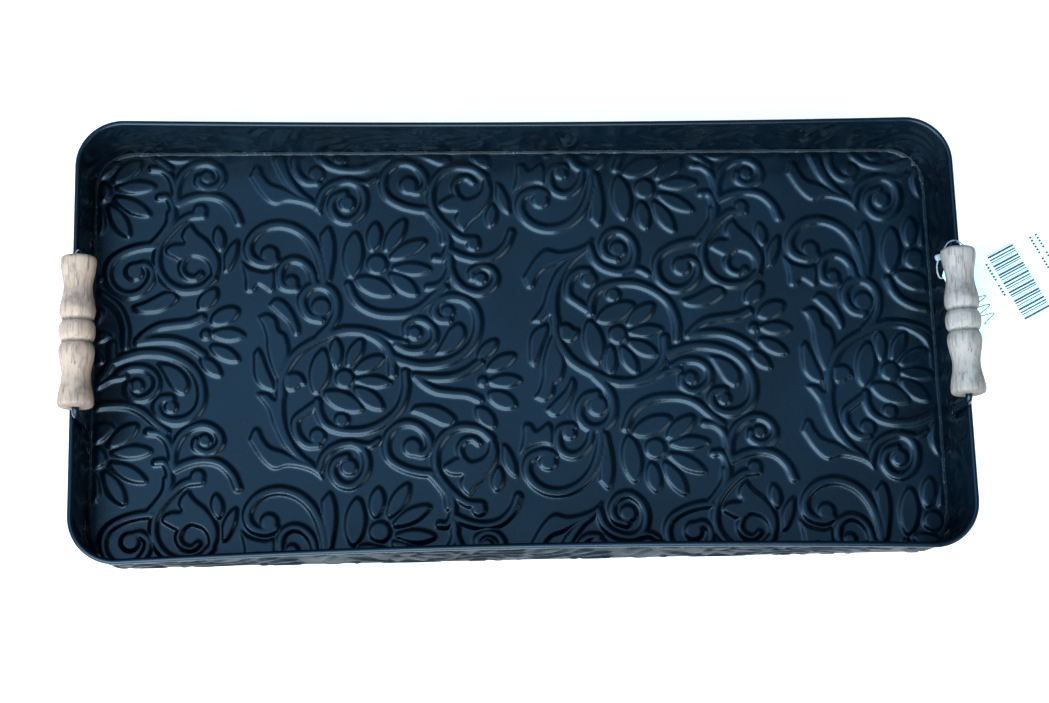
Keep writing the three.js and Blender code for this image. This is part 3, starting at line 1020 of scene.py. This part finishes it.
@dataclass
class FloorPanel:
    """The embossed floor panel, made as closed strips side by side."""

    outline: Outline
    cell: float = 0.0009
    strips: int = 4
    top: float = 0.0007
    thickness: float = 0.0006
    relief: float = 0.0014
    inset: float = 0.0041
    edge_fade: float = 0.0045
    warp: float = 0.00035
    # The sheet's slow waves as (radians per metre, shift).
    wave_x: tuple = (41, 0.7)
    wave_y: tuple = (57, -0.4)

    def surface(self, xs: np.ndarray, ys: np.ndarray) -> np.ndarray:
        """The floor's height above its flat ground, a row for each of ys.

        Args:
            xs: columns in metres.
            ys: rows in metres.

        Returns:
            Heights in metres.
        """
        share = EMBOSSING.height(xs / MM, ys / MM)
        edge_x = self.outline.half_x - self.inset - np.abs(xs)[None, :]
        edge_y = self.outline.half_y - self.inset - np.abs(ys)[:, None]
        edge = np.minimum(edge_x, edge_y)
        across = np.sin(xs[None, :] * self.wave_x[0] + self.wave_x[1])
        up = np.cos(ys[:, None] * self.wave_y[0] + self.wave_y[1])
        swell = (1 + across * up) / 2 * self.warp
        return (share * self.relief + swell) * eased(edge / self.edge_fade)

    def build(self, material: bpy.types.Material) -> None:
        """Makes each strip and dresses it.

        Args:
            material: the enamel.
        """
        half_x, half_y = self.outline.half_x - self.inset, self.outline.half_y - self.inset
        columns = int(round(2 * half_x / self.cell / self.strips))
        rows = int(round(2 * half_y / self.cell))
        edges = np.linspace(-half_x, half_x, self.strips + 1)
        for index in range(self.strips):
            name = f"floor_relief_{index + 1}"
            mesh = self.strip(name, edges[index], edges[index + 1], columns, rows, half_x, half_y)
            finish_piece(name, mesh, "tray", material, ("floor_panel",))

    def strip(self, name: str, start: float, end: float, columns: int, rows: int,
              half_x: float, half_y: float) -> bpy.types.Mesh:
        """One closed strip of the panel, with the slopes of the relief as its normals.

        Args:
            name: the mesh's name.
            start: its left side.
            end: its right side.
            columns: faces along X.
            rows: faces along Y.
            half_x: half the panel's length.
            half_y: half the panel's width.

        Returns:
            The mesh.
        """
        step = (end - start) / columns
        xs = np.linspace(start - step, end + step, columns + 3)
        ys = np.linspace(-half_y, half_y, rows + 1)
        heights = self.surface(xs, ys)
        slope_y, slope_x = np.gradient(heights, ys, xs)
        bm = bmesh.new()
        bmesh.ops.create_grid(bm, x_segments=columns, y_segments=rows, size=0.5)
        for vertex in bm.verts:
            column = round((vertex.co.x + 0.5) * columns) + 1
            row = round((vertex.co.y + 0.5) * rows)
            vertex.co = (xs[column], ys[row], self.top + heights[row, column])
        self.round_corners(bm, half_x, half_y)
        bmesh.ops.recalc_face_normals(bm, faces=bm.faces)
        if sum(face.normal.z for face in bm.faces) < 0:
            bmesh.ops.reverse_faces(bm, faces=bm.faces)
        sheet = bmesh.ops.extrude_face_region(bm, geom=list(bm.faces), use_keep_orig=True)
        lower = [item for item in sheet["geom"] if isinstance(item, bmesh.types.BMVert)]
        bmesh.ops.translate(bm, verts=lower, vec=(0, 0, -self.thickness))
        bmesh.ops.recalc_face_normals(bm, faces=bm.faces)
        bm.verts.index_update()
        under = [vertex.index for vertex in lower]
        mesh = to_mesh(bm, name)
        places = np.empty(len(mesh.vertices) * 3)
        mesh.vertices.foreach_get("co", places)
        places = places.reshape(-1, 3)
        column = np.clip(np.rint((places[:, 0] - xs[0]) / step).astype(int), 0, len(xs) - 1)
        row = np.clip(np.rint((places[:, 1] + half_y) / (ys[1] - ys[0])).astype(int), 0, rows)
        normals = np.column_stack([-slope_x[row, column], -slope_y[row, column], np.ones(len(places))])
        normals /= np.linalg.norm(normals, axis=1)[:, None]
        normals[under] *= -1
        mesh.normals_split_custom_set_from_vertices(normals.tolist())
        return mesh

    def round_corners(self, bm: bmesh.types.BMesh, half_x: float, half_y: float) -> None:
        """Cuts the panel's corners to their arc.

        Args:
            bm: the strip's flat grid, changed in place.
            half_x: half the panel's length.
            half_y: half the panel's width.
        """
        radius = self.outline.radius - self.inset
        centre_x, centre_y = half_x - radius, half_y - radius

        def past(x: float, y: float) -> float:
            """How far a point lies outside the corner's arc."""
            dx, dy = abs(x) - centre_x, abs(y) - centre_y
            return math.hypot(dx, dy) - radius if dx > 0 and dy > 0 else -1.0

        outside = [face for face in bm.faces if all(past(*vertex.co.xy) > 0 for vertex in face.verts)]
        bmesh.ops.delete(bm, geom=outside, context="FACES")
        for vertex in bm.verts:
            if past(*vertex.co.xy) > 0:
                sign_x, sign_y = math.copysign(1, vertex.co.x), math.copysign(1, vertex.co.y)
                arm = Vector((abs(vertex.co.x) - centre_x, abs(vertex.co.y) - centre_y)).normalized() * radius
                vertex.co.x = sign_x * (centre_x + arm.x)
                vertex.co.y = sign_y * (centre_y + arm.y)


@dataclass
class WallBand:
    """The bent wall sheet with its curled top edge, softly embossed like the floor."""

    outline: Outline
    height: float = 0.052
    sheet: float = 0.0006
    draft: float = 0.0006
    curl: float = 0.0016
    curl_end: float = -70.0
    cell: float = 0.0016
    relief: float = 0.0011
    # How far the pattern is shifted along and down, in millimetres.
    slide: float = 700.0
    drop: float = 24.0
    leg_clear: float = 0.006
    strap_clear: float = 0.008
    fade: float = 0.004
    seam_fade: float = 0.003

    def section(self) -> tuple[np.ndarray, np.ndarray]:
        """The closed section of the sheet.

        Returns:
            Its points as (inset, height), and for each the share of the wall's relief it takes.
        """
        curl_height = self.height - self.curl
        rows = int(curl_height / self.cell)
        heights = np.linspace(0, curl_height, rows, endpoint=False)
        lean = 2 * self.curl + self.draft * (1 - heights / curl_height)
        soft = np.clip(heights / 0.004, 0, 1) * np.clip((curl_height - heights) / 0.005, 0, 1)
        around = np.radians(np.linspace(180, self.curl_end, 19))

        def arc(radius: float, angles: np.ndarray) -> np.ndarray:
            """Points of the curl at one radius."""
            inset = self.curl - radius * np.cos(angles)
            return np.column_stack([inset, curl_height + radius * np.sin(angles)])

        inner = np.column_stack([lean, heights])
        outer = np.column_stack([lean - self.sheet, heights])[::-1]
        points = np.vstack([inner, arc(self.curl, around), arc(self.curl - self.sheet, around[::-1]), outer])
        share = np.r_[soft, np.zeros(2 * len(around)), soft[::-1]]
        return np.vstack([points, points[:1]]), np.r_[share, share[:1]]

    def build(self, inside: bpy.types.Material, outside: bpy.types.Material) -> None:
        """Makes the band and dresses it.

        Args:
            inside: the enamel of the inner face and the rolled edge.
            outside: the enamel of the outer face.
        """
        section, share = self.section()
        columns = int(self.outline.length / self.cell)
        along = np.arange(columns + 1) * self.outline.length / columns / MM
        levels = np.arange(int(self.height / MM) + 2)
        pattern = EMBOSSING.height(along - self.slide, levels - self.drop)

        def place(u: np.ndarray, v: np.ndarray) -> np.ndarray:
            """Points of the band.

            Args:
                u: shares of the way round the tray.
                v: shares of the way round the section.

            Returns:
                The points, in metres.
            """
            points, normals, bow = self.outline.walk(u)
            row = np.rint(v * (len(section) - 1)).astype(int)
            inset, z = section[row, 0], section[row, 1]
            column = np.rint(u * columns).astype(int)
            raised = pattern[np.rint(z / MM).astype(int), column % columns]
            beside = np.abs(points[:, 1])
            legs = np.clip((np.abs(beside - BAIL_LEG_Y) - self.leg_clear) / self.fade, 0, 1)
            strap = np.clip((beside - self.strap_clear) / self.fade, 0, 1)
            ends = np.abs(normals[:, 0]) > 0.99
            clear = np.where(ends, legs * strap, 1)
            seam = np.clip(np.minimum(u, 1 - u) / self.seam_fade, 0, 1)
            push = raised * share[row] * self.relief * clear * seam
            inset = inset + bow * z / self.height - push
            plan = points - normals * inset[:, None]
            return np.column_stack([plan, z])

        bm = wrapped_grid(columns, len(section) - 1, place)
        for face in bm.faces:
            middle = face.calc_center_median()
            across = face.normal.x * middle.x / self.outline.half_x
            outwards = across + face.normal.y * middle.y / self.outline.half_y
            face.material_index = int(outwards > 0 and middle.z < self.height - 2 * self.curl)
        mesh = to_mesh(bm, "wall_skin")
        finish_piece("wall_skin", mesh, "tray", inside, ("wall_band",), outside)


@dataclass
class SeamBead:
    """The lumpy bead of solder, enamelled over, along the joint of floor and walls."""

    outline: Outline
    back: float = 0.0038
    low: float = 0.0002
    width: float = 0.0030
    rise: float = 0.0026
    stations: int = 1500
    # Each set of lumps as (share of the bead, waves per metre, seed).
    lumps: tuple = ((0.16, 60, 1.0), (0.12, 260, 2.0), (0.10, 610, 3.0))
    corner_lumps: float = 0.8
    corner_swell: float = 0.25

    def build(self, material: bpy.types.Material) -> None:
        """Makes the bead and dresses it.

        Args:
            material: the seam's finish.
        """
        around = np.linspace(0, math.pi / 2, 7)
        arc = np.column_stack([1 - np.sin(around), 1 - np.cos(around)])
        section = np.vstack([[[0, 0]], arc[::-1], [[0, 0]]])

        def place(u: np.ndarray, v: np.ndarray) -> np.ndarray:
            """Points of the bead.

            Args:
                u: shares of the way round the tray.
                v: shares of the way round the section.

            Returns:
                The points, in metres.
            """
            points, normals, _ = self.outline.walk(u)
            row = np.rint(v * (len(section) - 1)).astype(int)
            spots = np.column_stack([points, np.zeros(len(points))])
            lumps = sum(share * ripple(spots, scale, seed) for share, scale, seed in self.lumps)
            corner = np.clip(np.abs(normals[:, 0] * normals[:, 1]) * 4, 0, 1)
            swell = 1 + lumps * (1 + self.corner_lumps * corner) + self.corner_swell * corner
            inset = self.back + section[row, 0] * self.width * swell
            z = self.low + section[row, 1] * self.rise * swell
            return np.column_stack([points - normals * inset[:, None], z])

        bm = wrapped_grid(self.stations, len(section) - 1, place)
        mesh = to_mesh(bm, "seam_bead")
        finish_piece("seam_bead", mesh, "tray", material, ("seam_solder",))


@dataclass
class WallStrap:
    """The strap outside the left end wall that joins the band's two ends."""

    thickness: float = 0.0006

    def build(self, material: bpy.types.Material) -> None:
        """Makes the strap and dresses it.

        Args:
            material: the enamel.
        """
        low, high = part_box("wall_strap")
        bm = bmesh.new()
        bmesh.ops.create_cube(bm, size=1)
        for vertex in bm.verts:
            at_top, at_far = vertex.co.z > 0, vertex.co.y > 0
            inner = self.thickness if vertex.co.x > 0 else 0
            base = low[0] if at_top else high[0] - self.thickness
            vertex.co = (base + inner, (high if at_far else low)[1], (high if at_top else low)[2])
        upright = [edge for edge in bm.edges if abs(edge.verts[0].co.y - edge.verts[1].co.y) < 1e-6]
        bmesh.ops.bevel(bm, geom=upright, offset=0.0002, offset_type="OFFSET", affect="EDGES", segments=2,
                        profile=0.5, material=-1)
        bmesh.ops.recalc_face_normals(bm, faces=bm.faces)
        mesh = to_mesh(bm, "strap_plate", smooth=False)
        finish_piece("strap_plate", mesh, "tray", material, ("wall_strap",))


# ---------------------------------------------------------------- handles

class End(Enum):
    """The two ends of the tray that carry a handle."""

    RIGHT = 1
    LEFT = -1


@dataclass
class Handle:
    """A turned grip on a wire bail, with flattened feet riveted to an end wall."""

    end: End
    wood: LimedWood
    grip_height: float = 0.065
    bore: float = 0.0024
    wire: float = 0.0020
    bend: float = 0.0034
    leg_steps: int = 60
    top_steps: int = 13
    foot_height: float = 0.030
    foot_radius: float = 0.0045
    foot_half: float = 0.00085
    # How far above the foot's middle the wire starts to flatten, and over what length.
    foot_blend: tuple = (0.0085, 0.005)
    foot_shoulder: float = 0.0035
    rivet_head: float = 0.003
    rivet_dome: float = 0.0012
    rivet_shank: float = 0.0015
    dents: tuple = (0.00012, 0.00004)

    @property
    def side(self) -> str:
        """The end's name, as the nodes use it."""
        return self.end.name.lower()

    @property
    def axis_x(self) -> float:
        """Where the grip's axis lies along the tray."""
        low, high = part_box(f"{self.side}_grip")
        return (low[0] + high[0]) / 2

    def grip_profile(self) -> np.ndarray:
        """Draws the grip's outline: flares, necks, grooves and a middle bead.

        Returns:
            The closed outline's points as (radius, distance along), in metres.
        """
        half = (
            (0.0, 10.25), (2.6, 10.0), (4.6, 9.3), (6.1, 8.35), (7.6, 9.1), (9.6, 9.8), (12.5, 9.95),
            (16.5, 9.3), (21.0, 8.4), (25.0, 8.05), (29.5, 8.5), (34.5, 9.5), (38.2, 10.0), (40.8, 9.9),
            (42.0, 9.2), (42.5, 8.0),
        )
        rising = smooth_line([(radius, along) for along, radius in half], 0.7)
        whole = np.vstack([rising[::-1] * (1, -1), rising[1:]])
        bore = self.bore / MM
        ends = [[bore + 0.5, 42.5], [bore, 42.0], [bore, 0], [bore, -42.0], [bore + 0.5, -42.5]]
        return np.vstack([whole, ends, whole[:1]]) * MM

    def build_grip(self) -> None:
        """Turns the grip and dresses it."""
        name = f"{self.side}_grip_wood"
        middle = (self.axis_x, 0, self.grip_height)
        bm = turned(self.grip_profile(), middle, (0, 1, 0), (0, 0, 1), 64)
        places = np.array([vertex.co for vertex in bm.verts])
        broad, fine = self.dents
        dents = broad * ripple(places, 45, 2.0 + self.end.value) + fine * ripple(places, 260, 4.0)
        for vertex, place, dent in zip(bm.verts, places, dents):
            arm = place - np.array([middle[0], place[1], middle[2]])
            radius = np.linalg.norm(arm)
            if radius > 2 * self.bore:
                vertex.co = Vector(place + arm / radius * (dent - broad))
        body, node = f"{self.side}_grip_turning", f"{self.side}_grip"
        finish_piece(name, to_mesh(bm, name), body, self.wood.material(), (node,))

    def build_bail(self, material: bpy.types.Material) -> None:
        """Bends the bail, flattens its feet and dresses it.

        Args:
            material: the enamel.
        """
        corner = self.bend
        turn = np.linspace(0, math.pi / 2, 9)
        bend_y = BAIL_LEG_Y - corner + corner * np.cos(turn)
        bend_z = self.grip_height - corner + corner * np.sin(turn)
        foot_end = self.foot_height - self.foot_radius
        leg = np.linspace(foot_end + 1e-5, self.grip_height - corner, self.leg_steps, endpoint=False)
        across = np.linspace(BAIL_LEG_Y - corner, 0, self.top_steps + 1)[1:]
        half = np.vstack([
            np.column_stack([np.full(len(leg), BAIL_LEG_Y), leg]),
            np.column_stack([bend_y, bend_z]),
            np.column_stack([across, np.full(len(across), self.grip_height)]),
        ])
        plan = np.vstack([half, (half * (-1, 1))[:-1][::-1]])
        blend_top, blend_length = self.foot_blend
        flat = eased((self.foot_height + blend_top - plan[:, 1]) / blend_length)
        disc = np.sqrt(np.maximum(self.foot_radius ** 2 - (plan[:, 1] - self.foot_height) ** 2, 1e-9))
        on_disc = plan[:, 1] < self.foot_height + self.foot_shoulder
        least = np.where(plan[:, 1] > self.foot_height, self.wire, 0)
        waist = np.where(on_disc, np.maximum(disc, least), self.wire)
        depths = self.wire + (self.foot_half - self.wire) * flat
        outer_face = self.axis_x + self.end.value * (self.wire - 0.0001)
        beside_wall = np.where(flat > 0, outer_face - self.end.value * depths, self.axis_x)
        sideways = self.axis_x + (beside_wall - self.axis_x) * flat
        route = np.column_stack([sideways, plan])
        bm = tube(route, waist, depths, 20, (1, 0, 0))
        name = f"{self.side}_bail_wire"
        finish_piece(name, to_mesh(bm, name), "tray", material, (f"{self.side}_bail",))

    def build_rivets(self, material: bpy.types.Material) -> None:
        """Makes both rivets and dresses them.

        Args:
            material: the enamel.
        """
        for letter in "ab":
            node = f"{self.side}_rivet_{letter}"
            low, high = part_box(node)
            middle = [(low[axis] + high[axis]) / 2 for axis in range(3)]
            reach = (high[0] - low[0]) / 2
            neck = reach - self.rivet_dome
            dome = [(self.rivet_head * math.cos(angle), neck + self.rivet_dome * math.sin(angle))
                    for angle in np.linspace(0, math.pi / 2, 9)]
            half = [(self.rivet_shank, 0.0), (self.rivet_shank, neck), *dome]
            profile = np.array([(radius, -along) for radius, along in half[::-1]] + half[1:])
            bm = turned(profile, middle, (1, 0, 0), (0, 1, 0), 28)
            name = f"{self.side}_rivet_dome_{letter}"
            finish_piece(name, to_mesh(bm, name), "tray", material, (node,))


# ---------------------------------------------------------------- swing tag

@dataclass
class SwingTag:
    """The card tag, its generic print and the moulded loop that holds it."""

    turn: float = math.radians(27)
    bottom: float = 0.0524
    thickness: float = 0.0004
    inner: float = 229.0
    outer: float = 298.4
    low_edge: float = -131.0
    high_edge: float = -78.5
    hole: tuple = (234.5, -84.5, 2.0)
    loop_height: float = 53.5
    strand: float = 0.00042
    ink_rise: float = 0.00005
    corner: float = 2.0
    bars: int = 30
    # The bars' middle along, first edge across and length, then each row of dashes as (along, count).
    bar_place: tuple = (267.0, -85.5, 17.5)
    dash_rows: tuple = ((255.5, 12), (287.0, 15), (291.0, 17))
    wave_steps: int = 44

    def plan(self, u: float, v: float) -> tuple[float, float]:
        """The tray's X and Y in metres for millimetres along and across the tag."""
        cos, sin = math.cos(self.turn), math.sin(self.turn)
        return (u * cos - v * sin) * MM, (u * sin + v * cos) * MM

    def outline(self) -> list[tuple[float, float]]:
        """Draws the card's outline, with shoulders at the hole end and round outer corners.

        Returns:
            Its points in millimetres along and across the tag.
        """
        radius = self.corner
        corners = [(self.inner, self.low_edge + 4.5), (self.inner + 11, self.low_edge)]
        for start, v in ((-90, self.low_edge + radius), (0, self.high_edge - radius)):
            for step in range(7):
                angle = math.radians(start + 15 * step)
                u = self.outer - radius + radius * math.cos(angle)
                corners.append((u, v + radius * math.sin(angle)))
        return [*corners, (self.inner + 5, self.high_edge), (self.inner, self.high_edge - 5)]

    def build_card(self) -> None:
        """Cuts the card with its hole and dresses it."""
        bm = bmesh.new()
        u, v, radius = self.hole
        angles = np.linspace(0, 2 * math.pi, 25)[:-1]
        ring = [(u + radius * math.cos(angle), v + radius * math.sin(angle)) for angle in angles]
        edges = []
        for loop in (self.outline(), ring):
            verts = [bm.verts.new((*self.plan(*corner), self.bottom)) for corner in loop]
            edges += [bm.edges.new((verts[i - 1], verts[i])) for i in range(len(verts))]
        bmesh.ops.triangle_fill(bm, use_beauty=True, edges=edges)
        raised = bmesh.ops.extrude_face_region(bm, geom=list(bm.faces), use_keep_orig=True)
        top = [item for item in raised["geom"] if isinstance(item, bmesh.types.BMVert)]
        bmesh.ops.translate(bm, verts=top, vec=(0, 0, self.thickness))
        bmesh.ops.recalc_face_normals(bm, faces=bm.faces)
        mesh = to_mesh(bm, "tag_paper", smooth=False)
        finish_piece("tag_paper", mesh, "swing_tag", TagCard().material(), ("tag_card",))

    def marks(self) -> list[tuple[float, float, float, float]]:
        """Lays out the print, a block of bars with no meaning and rows of short dashes.

        Returns:
            Each mark's box as (along, across, length, width), in millimetres.
        """
        boxes = []
        middle, across, length = self.bar_place
        for bar in range(self.bars):
            thick = 0.35 + 0.30 * ((bar * 7) % 4)
            boxes.append((middle, across - thick / 2, length, thick))
            across -= thick + 0.40 + 0.25 * ((bar * 5) % 3)
        for row, (along, dashes) in enumerate(self.dash_rows):
            kept = [dash for dash in range(dashes) if (dash + row) % 7]
            boxes += [(along, -88.0 - dash * 2.0, 1.5, 1.2) for dash in kept]
        return boxes

    def build_print(self) -> None:
        """Lays the generic bars and dashes on the card and dresses them."""
        bm = bmesh.new()
        top = self.bottom + self.thickness
        for along, across, length, width in self.marks():
            cube = bmesh.ops.create_cube(bm, size=1)["verts"]
            for vertex in cube:
                u, v = along + vertex.co.x * length, across + vertex.co.y * width
                vertex.co = (*self.plan(u, v), top + (vertex.co.z + 0.3) * self.ink_rise)
        self.scribble(bm, top)
        bmesh.ops.recalc_face_normals(bm, faces=bm.faces)
        mesh = to_mesh(bm, "tag_print", smooth=False)
        finish_piece("tag_print", mesh, "swing_tag", PrintInk().material())

    def scribble(self, bm: bmesh.types.BMesh, top: float) -> None:
        """Adds a loose pen wave, no letters or digits.

        Args:
            bm: the print's bmesh, changed in place.
            top: the card's upper face.
        """
        for step in range(self.wave_steps):
            shares = (step / self.wave_steps, (step + 1) / self.wave_steps)
            ends = [(240 + 5.5 * math.sin(18 * t) * (1 - 0.3 * t), -104 - 16 * t) for t in shares]
            (u0, v0), (u1, v1) = ends
            length, angle = math.hypot(u1 - u0, v1 - v0) + 0.3, math.atan2(v1 - v0, u1 - u0)
            for vertex in bmesh.ops.create_cube(bm, size=1)["verts"]:
                x, y = vertex.co.x * length, vertex.co.y * 0.5
                u = (u0 + u1) / 2 + x * math.cos(angle) - y * math.sin(angle)
                v = (v0 + v1) / 2 + x * math.sin(angle) + y * math.cos(angle)
                vertex.co = (*self.plan(u, v), top + (vertex.co.z + 0.3) * self.ink_rise)

    def build_loop(self) -> None:
        """Moulds the loop and its lock head and dresses them."""
        top = self.loop_height
        route = smooth_line((
            (240.5, 40.5, top), (243.4, 44.6, top), (246.6, 49.2, top), (251.2, 50.4, top),
            (255.6, 47.4, top), (256.4, 41.6, top), (253.2, 36.2, top), (249.2, 32.4, top),
            (247.2, 31.1, top - 1.0), (244.6, 29.8, top - 2.2), (241.2, 28.4, top - 1.6),
            (239.2, 30.4, top), (238.9, 35.0, top), (240.1, 39.3, top)), 0.4) * MM
        radii = np.full(len(route), self.strand)
        bm = tube(route, radii, radii, 12, (0, 0, 1))
        head = bmesh.ops.create_cube(bm, size=1)["verts"]
        bmesh.ops.scale(bm, verts=head, vec=(0.0046, 0.0036, 0.0024))
        edges = list({edge for vertex in head for edge in vertex.link_edges})
        rounded = bmesh.ops.bevel(bm, geom=edges, offset=0.0009, offset_type="OFFSET", affect="EDGES",
                                  segments=4, profile=0.5, material=-1)
        head = list({vertex for face in rounded["faces"] for vertex in face.verts})
        bmesh.ops.rotate(bm, verts=head, cent=(0, 0, 0), matrix=Matrix.Rotation(math.radians(20), 3, "Z"))
        bmesh.ops.translate(bm, verts=head, vec=(0.2405, 0.0405, top * MM))
        bmesh.ops.recalc_face_normals(bm, faces=bm.faces)
        mesh = to_mesh(bm, "loop_strand")
        plastic = ClearPlastic().material()
        finish_piece("loop_strand", mesh, "swing_tag", plastic, ("tag_loop",))


# ---------------------------------------------------------------- studio

@dataclass
class SoftBox:
    """One rectangular soft light aimed at a point."""

    name: str
    place: tuple
    aim: tuple
    size: tuple
    power: float
    colour: tuple

    def build(self) -> None:
        """Hangs the light."""
        data = bpy.data.lights.new(self.name, "AREA")
        data.shape = "RECTANGLE"
        data.size, data.size_y = self.size
        data.energy = self.power
        data.color = self.colour
        light = bpy.data.objects.new(self.name, data)
        light.location = self.place
        light.rotation_euler = (Vector(self.aim) - Vector(self.place)).to_track_quat("-Z", "Y").to_euler()
        bpy.context.scene.collection.objects.link(light)


@dataclass
class Studio:
    """The pale floor, the soft lights, the sky glow and the camera."""

    eye: tuple = (-0.0733, -0.2343, 1.0814)
    elevation: float = math.radians(77.19)
    azimuth: float = math.radians(-17.98)
    roll: float = math.radians(16.80)
    lens: float = 64.2
    glow: tuple = (-0.35, -0.15, 0.92)
    glow_power: float = 5.0
    sky_dim: tuple = (0.022, 0.036, 0.055)
    sky_bright: tuple = (0.86, 1.62, 2.55)
    floor_tones: tuple = ((0.88, 0.88, 0.88), (0.92, 0.92, 0.92))
    floor_glow: float = 0.78
    boxes: tuple = (
        SoftBox("window", (-0.52, -1.22, 1.10), (0, 0, 0), (2.0, 1.6), 60, (0.74, 0.90, 1.0)),
        SoftBox("fill", (1.5, -0.9, 1.2), (0, 0, 0), (0.8, 0.8), 5, (0.80, 0.93, 1.0)),
    )

    def build_camera(self) -> None:
        """Sets the camera in place."""
        el, az = self.elevation, self.azimuth
        back = Vector((math.sin(az) * math.cos(el), -math.cos(az) * math.cos(el), math.sin(el)))
        level = Vector((math.cos(az), math.sin(az), 0))
        upright = back.cross(level)
        right = level * math.cos(self.roll) + upright * math.sin(self.roll)
        up = upright * math.cos(self.roll) - level * math.sin(self.roll)
        data = bpy.data.cameras.new("camera")
        data.lens, data.sensor_width, data.sensor_fit = self.lens, 36.0, "HORIZONTAL"
        camera = bpy.data.objects.new("camera", data)
        turn = Matrix((right, up, back)).transposed().to_4x4()
        camera.matrix_world = Matrix.Translation(self.eye) @ turn
        bpy.context.scene.collection.objects.link(camera)
        bpy.context.scene.camera = camera

    def build_floor(self) -> None:
        """Lays the pale floor."""
        bm = bmesh.new()
        bmesh.ops.create_grid(bm, x_segments=4, y_segments=4, size=6)
        bmesh.ops.translate(bm, verts=bm.verts, vec=(0, 0, -0.0003))
        mesh = to_mesh(bm, "studio_floor")
        material = bpy.data.materials.new("pale_floor")
        tree = ShaderTree(material)
        tone = tree.noise(tree.place(), 3, 2)
        tree.surface({
            "Base Color": tree.blend(tone, *self.floor_tones),
            "Roughness": 0.9,
            "Specular IOR Level": 0.1,
            "Emission Color": (1, 1, 1, 1),
            "Emission Strength": self.floor_glow,
        })
        mesh.materials.append(material)
        floor = bpy.data.objects.new("studio_floor", mesh)
        bpy.context.scene.collection.objects.link(floor)

    def build_sky(self) -> None:
        """Makes the soft glow overhead, leaning a little to the near left, and dim low down."""
        world = bpy.data.worlds.new("soft_sky")
        bpy.context.scene.world = world
        tree = ShaderTree(world)
        where = tree.node("ShaderNodeTexCoord").outputs["Generated"]
        towards = tuple(Vector(self.glow).normalized())
        facing = tree.node("ShaderNodeVectorMath", {"operation": "DOT_PRODUCT"}, {0: where, 1: towards})
        share = Value(tree, facing.outputs["Value"]).math("MAXIMUM", 0.0) ** self.glow_power
        colour = tree.blend(share, self.sky_dim, self.sky_bright)
        background = tree.node("ShaderNodeBackground", None, {"Color": colour, "Strength": 1.0})
        tree.node("ShaderNodeOutputWorld", None, {"Surface": background.outputs[0]})

    def build(self) -> None:
        """Sets up the whole studio."""
        self.build_camera()
        self.build_floor()
        self.build_sky()
        for box in self.boxes:
            box.build()
        bpy.context.scene.view_settings.view_transform = "Standard"


# ---------------------------------------------------------------- assembly

def dress_wire() -> None:
    """Gives the wire inside the curl its finish."""
    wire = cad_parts["rim_wire"]
    finish = DrawnWire().material()
    for slot in wire.material_slots:
        slot.material = finish
    LOG.info("rim_wire: dressed")


def main() -> None:
    """Builds the studio and every sub-assembly in order."""
    logging.basicConfig(level=logging.INFO, format="%(name)s: %(message)s")
    Studio().build()
    enamel = Enamel("black_enamel_gloss").material()
    fittings = Enamel("black_enamel_fittings", gloss=0.16, smear=0.10).material()
    outline = Outline()
    FloorPanel(outline).build(enamel)
    outside = Enamel("black_enamel_outside", gloss=0.36, smear=0.12, sheen=0.02).material()
    WallBand(outline).build(enamel, outside)
    SeamBead(outline).build(SolderedSeam().material())
    WallStrap().build(outside)
    dress_wire()
    woods = {
        End.RIGHT: LimedWood("limed_wood_right", (0.2482, 0, 0.065), (0.55, 0.45, 0.38), (0.43, 0.34, 0.27),
                             (0.15, 0.115, 0.09), 0.00),
        End.LEFT: LimedWood("limed_wood_left", (-0.2482, 0, 0.065), (0.68, 0.45, 0.32), (0.56, 0.35, 0.24),
                            (0.17, 0.12, 0.10), 0.07),
    }
    for end, wood in woods.items():
        handle = Handle(end, wood)
        handle.build_grip()
        handle.build_bail(fittings)
        handle.build_rivets(fittings)
    tag = SwingTag()
    tag.build_card()
    tag.build_print()
    tag.build_loop()


if __name__ == "__main__":
    main()
